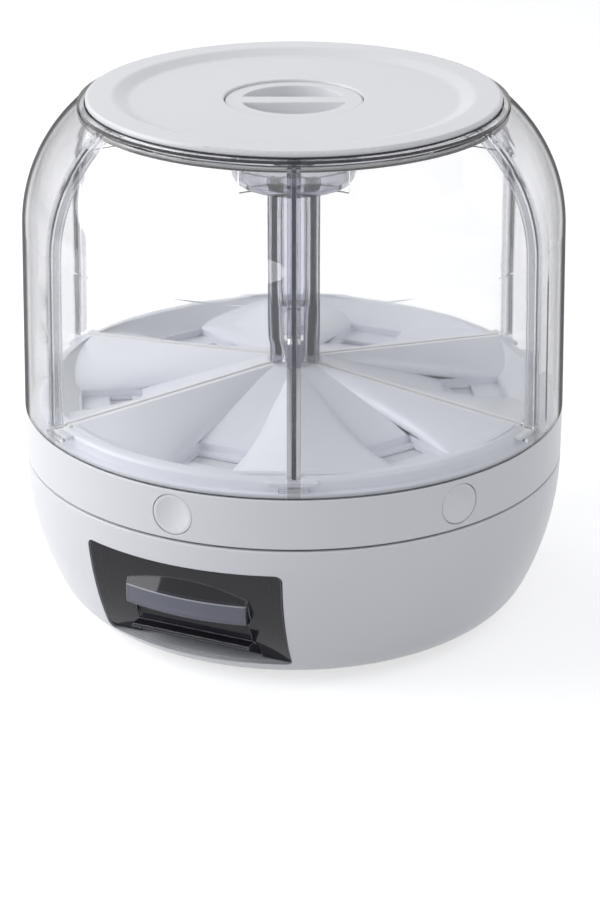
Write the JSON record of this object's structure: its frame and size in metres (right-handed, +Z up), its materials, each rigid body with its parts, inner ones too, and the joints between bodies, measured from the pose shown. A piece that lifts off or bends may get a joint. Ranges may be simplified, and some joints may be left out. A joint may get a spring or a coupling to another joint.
{
  "type": "rotating grain dispenser",
  "caption": "Round countertop grain dispenser: clear divided bucket turns on a white base, push buttons open shutters over a smoky pull-out drawer, under a dished lift-off lid.",
  "frame": {"origin": "on the turning axis, level with the underside of the feet", "axes": "+Z up along the turning axis, -Y towards the drawer's front, +X to the right seen from the drawer's side"},
  "size_m": [0.303, 0.303, 0.294],
  "materials": {
    "white_plastic": "satin moulded ABS",
    "button_plastic": "satin moulded ABS",
    "shutter_plastic": "matt moulded acetal",
    "acetal": "matt",
    "soft_rubber": "matt",
    "grey_gasket": "matt",
    "silicone": "translucent matt",
    "steel": "plated",
    "clear_plastic": "clear moulded polystyrene",
    "band_plastic": "grey clear moulded",
    "smoky_plastic": "smoky clear moulded"
  },
  "bodies": {
    "base": {"base_bowl": "white_plastic", "feet": "soft_rubber", "base_deck": "white_plastic", "base_screws": "steel", "drawer_bay": "white_plastic", "bay_screws": "steel", "spindle_washer": "steel", "spindle_screw": "steel"},
    "bearing": {"bearing_cage": "acetal", "bearing_balls": "steel"},
    "turntable": {"gate_floor": "white_plastic", "hub_bush": "acetal", "rotor_screws": "steel", "collar": "white_plastic", "bucket_gasket": "grey_gasket", "hopper_tray": "white_plastic", "bucket": "clear_plastic", "centre_column": "clear_plastic", "column_screw": "steel", "divider_1": "clear_plastic", "divider_2": "clear_plastic", "divider_3": "clear_plastic", "divider_4": "clear_plastic", "divider_5": "clear_plastic", "divider_6": "clear_plastic", "button_spring_1": "steel", "button_spring_2": "steel", "button_spring_3": "steel", "button_spring_4": "steel", "button_spring_5": "steel", "button_spring_6": "steel"},
    "gate_1": {"button_1": "button_plastic", "shutter_1": "shutter_plastic"},
    "gate_2": {"button_2": "button_plastic", "shutter_2": "shutter_plastic"},
    "gate_3": {"button_3": "button_plastic", "shutter_3": "shutter_plastic"},
    "gate_4": {"button_4": "button_plastic", "shutter_4": "shutter_plastic"},
    "gate_5": {"button_5": "button_plastic", "shutter_5": "shutter_plastic"},
    "gate_6": {"button_6": "button_plastic", "shutter_6": "shutter_plastic"},
    "lid": {"lid_panel": "white_plastic", "lid_band": "band_plastic", "lid_seal": "silicone"},
    "lock": {"knob": "white_plastic", "locking_bar": "white_plastic", "knob_screw": "steel"},
    "drawer_box": {"drawer": "smoky_plastic"}
  },
  "joints": [
    {"name": "turntable_spin", "type": "hinge", "parent": "base", "child": "turntable", "pos_m": [0, 0, 0.09], "axis": [0, 0, 1], "continuous": true},
    {"name": "bearing_spin", "type": "hinge", "parent": "base", "child": "bearing", "pos_m": [0, 0, 0.088], "axis": [0, 0, 1], "continuous": true},
    {"name": "button_1_press", "type": "slide", "parent": "turntable", "child": "gate_1", "axis": [0, 1, 0], "range_m": [0, 0.014], "stiffness_N_per_m": 150, "springref_m": -0.006, "deforming": ["button_spring_1"]},
    {"name": "button_2_press", "type": "slide", "parent": "turntable", "child": "gate_2", "axis": [-0.866, 0.5, 0], "range_m": [0, 0.014], "stiffness_N_per_m": 150, "springref_m": -0.006, "deforming": ["button_spring_2"]},
    {"name": "button_3_press", "type": "slide", "parent": "turntable", "child": "gate_3", "axis": [-0.866, -0.5, 0], "range_m": [0, 0.014], "stiffness_N_per_m": 150, "springref_m": -0.006, "deforming": ["button_spring_3"]},
    {"name": "button_4_press", "type": "slide", "parent": "turntable", "child": "gate_4", "axis": [0, -1, 0], "range_m": [0, 0.014], "stiffness_N_per_m": 150, "springref_m": -0.006, "deforming": ["button_spring_4"]},
    {"name": "button_5_press", "type": "slide", "parent": "turntable", "child": "gate_5", "axis": [0.866, -0.5, 0], "range_m": [0, 0.014], "stiffness_N_per_m": 150, "springref_m": -0.006, "deforming": ["button_spring_5"]},
    {"name": "button_6_press", "type": "slide", "parent": "turntable", "child": "gate_6", "axis": [0.866, 0.5, 0], "range_m": [0, 0.014], "stiffness_N_per_m": 150, "springref_m": -0.006, "deforming": ["button_spring_6"]},
    {"name": "lid_lift", "type": "slide", "parent": "turntable", "child": "lid", "axis": [0, 0, 1], "range_m": [0, 0.06]},
    {"name": "knob_turn", "type": "hinge", "parent": "lid", "child": "lock", "pos_m": [0, 0, 0.285], "axis": [0, 0, 1], "range_deg": [0, 90]},
    {"name": "drawer_pull", "type": "slide", "parent": "base", "child": "drawer_box", "axis": [0, -1, 0], "range_m": [0, 0.092]}
  ],
  "couplings": [
    {"joint": "bearing_spin", "follows": "turntable_spin", "ratio": 0.5}
  ]
}
